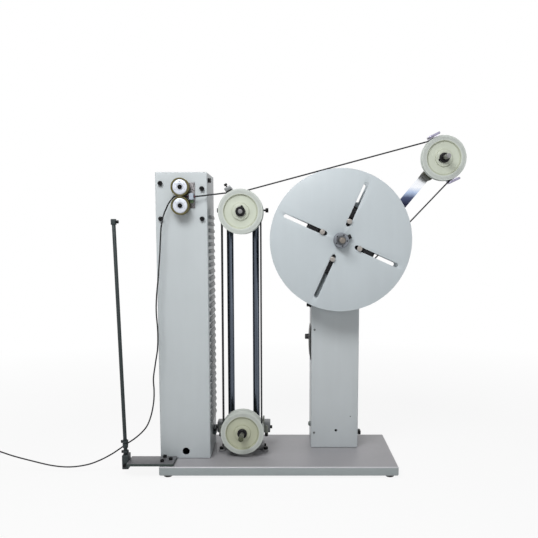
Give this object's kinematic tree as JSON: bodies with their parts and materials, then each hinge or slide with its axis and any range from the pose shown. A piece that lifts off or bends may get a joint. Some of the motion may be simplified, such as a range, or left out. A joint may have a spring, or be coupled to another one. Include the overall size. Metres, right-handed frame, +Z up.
{
  "type": "wire pre-feeder",
  "caption": "Floor-standing wire pre-feeder: motor reel between slotted discs, spring-balanced dancer arm, sheave accumulator and pinch-roller feed tower.",
  "frame": {"origin": "on the floor, under the middle of the machine's outline without the free wire tail", "axes": "+X along the machine towards the reel's side, +Y towards the back, +Z up"},
  "size_m": [1.3248, 0.34, 0.9593],
  "materials": {
    "grey_paint": "satin light grey powder coat",
    "base_paint": "satin mid-grey powder coat",
    "dark_steel": "dark green-black coat",
    "black_plastic": "matt black",
    "bright_steel": "turned",
    "chromed_steel": "polished",
    "nylon": "turned, cream",
    "turned_aluminium": "turned",
    "roller_tyre": "olive, satin",
    "bronze": "cast",
    "grey_block": "grey coat, satin",
    "disc_grey": "grey coat, satin",
    "olive_block": "olive-grey coat",
    "white_ceramic": "white glaze",
    "motor_casing": "dark grey casing",
    "wire_jacket": "black jacket"
  },
  "bodies": {
    "frame": {"base_pan": "base_paint", "tower_shell": "grey_paint", "tower_rear_cover": "grey_paint", "motor_plate": "bright_steel", "feed_motor": "motor_casing", "wire_guide_block": "white_ceramic", "guide_plate": "grey_block", "limit_switch": "black_plastic", "foot_plate": "dark_steel", "post_block": "dark_steel", "guide_post": "dark_steel", "post_cap": "dark_steel", "wire_eyelet": "bronze", "rod_base_block": "grey_block", "guide_rod_left": "chromed_steel", "guide_rod_right": "chromed_steel", "top_bracket": "grey_block", "upper_axle": "bright_steel", "wire_keeper": "grey_block", "column_shell": "grey_paint", "column_rear_cover": "grey_paint", "reel_motor": "motor_casing", "reel_bearing_housing": "grey_block", "arm_pivot_stud": "bright_steel", "control_plate": "black_plastic", "upper_wire": "wire_jacket", "feed_wire": "wire_jacket", "tail_wire": "wire_jacket", "arm_wire": "wire_jacket", "reeving_wire_1": "wire_jacket", "reeving_wire_2": "wire_jacket", "reeving_wire_3": "wire_jacket", "reeving_wire_4": "wire_jacket"},
    "carriage": {"carriage": "grey_block", "lower_axle": "bright_steel", "carriage_wire_front": "wire_jacket", "carriage_wire_rear": "wire_jacket"},
    "lower_sheave_front": {"lower_sheave_front": "nylon"},
    "lower_sheave_rear": {"lower_sheave_rear": "nylon"},
    "upper_sheave_front": {"upper_sheave_front": "nylon"},
    "upper_sheave_middle": {"upper_sheave_middle": "nylon"},
    "upper_sheave_rear": {"upper_sheave_rear": "nylon"},
    "reel": {"reel_shaft": "bright_steel", "rear_disc": "disc_grey", "front_disc": "disc_grey", "clamp_collar": "grey_block", "coil_core": "wire_jacket", "wire_coil": "wire_jacket"},
    "dancer_arm": {"dancer_arm": "chromed_steel", "arm_end_block": "olive_block", "wire_guard": "chromed_steel", "pulley_axle": "bright_steel"},
    "arm_pulley": {"arm_pulley": "nylon"},
    "lower_roller": {"lower_feed_shaft": "bright_steel", "lower_roller_hub": "turned_aluminium", "lower_roller_tyre": "roller_tyre"},
    "upper_roller": {"upper_feed_shaft": "bright_steel", "upper_roller_hub": "turned_aluminium", "upper_roller_tyre": "roller_tyre"},
    "control_knob": {"control_knob": "black_plastic"}
  },
  "joints": [
    {"name": "carriage_slide", "type": "slide", "parent": "frame", "child": "carriage", "axis": [0, 0, 1], "range_m": [0, 0.45], "deforming": ["reeving_wire_1", "reeving_wire_2", "reeving_wire_3", "reeving_wire_4"]},
    {"name": "lower_front_sheave_spin", "type": "hinge", "parent": "carriage", "child": "lower_sheave_front", "pos_m": [-0.1389, -0.073, 0.106], "axis": [0, -1, 0], "continuous": true},
    {"name": "lower_rear_sheave_spin", "type": "hinge", "parent": "carriage", "child": "lower_sheave_rear", "pos_m": [-0.1389, -0.047, 0.106], "axis": [0, -1, 0], "continuous": true},
    {"name": "upper_front_sheave_spin", "type": "hinge", "parent": "frame", "child": "upper_sheave_front", "pos_m": [-0.1389, -0.086, 0.739], "axis": [0, -1, 0], "continuous": true},
    {"name": "upper_middle_sheave_spin", "type": "hinge", "parent": "frame", "child": "upper_sheave_middle", "pos_m": [-0.1389, -0.06, 0.739], "axis": [0, -1, 0], "continuous": true},
    {"name": "upper_rear_sheave_spin", "type": "hinge", "parent": "frame", "child": "upper_sheave_rear", "pos_m": [-0.1389, -0.034, 0.739], "axis": [0, -1, 0], "continuous": true},
    {"name": "reel_spin", "type": "hinge", "parent": "frame", "child": "reel", "pos_m": [0.1419, -0.035, 0.6595], "axis": [0, -1, 0], "continuous": true},
    {"name": "arm_swing", "type": "hinge", "parent": "frame", "child": "dancer_arm", "pos_m": [0.1646, 0.011, 0.57], "axis": [0, -1, 0], "range_deg": [-30, 12], "stiffness_Nm_per_rad": 10, "springref_deg": 16.62, "deforming": ["arm_wire"]},
    {"name": "arm_pulley_spin", "type": "hinge", "parent": "dancer_arm", "child": "arm_pulley", "pos_m": [0.42722, -0.059, 0.88745], "axis": [0, -1, 0], "continuous": true},
    {"name": "lower_roller_spin", "type": "hinge", "parent": "frame", "child": "lower_roller", "pos_m": [-0.3019, -0.1095, 0.754], "axis": [0, -1, 0], "continuous": true},
    {"name": "upper_roller_spin", "type": "hinge", "parent": "frame", "child": "upper_roller", "pos_m": [-0.3019, -0.1095, 0.8044], "axis": [0, -1, 0], "continuous": true},
    {"name": "control_knob_turn", "type": "hinge", "parent": "frame", "child": "control_knob", "pos_m": [0.0486, 0.072, 0.368], "axis": [-1, 0, 0], "range_deg": [0, 270]}
  ],
  "couplings": [
    {"joint": "upper_roller_spin", "follows": "lower_roller_spin", "ratio": -1}
  ]
}
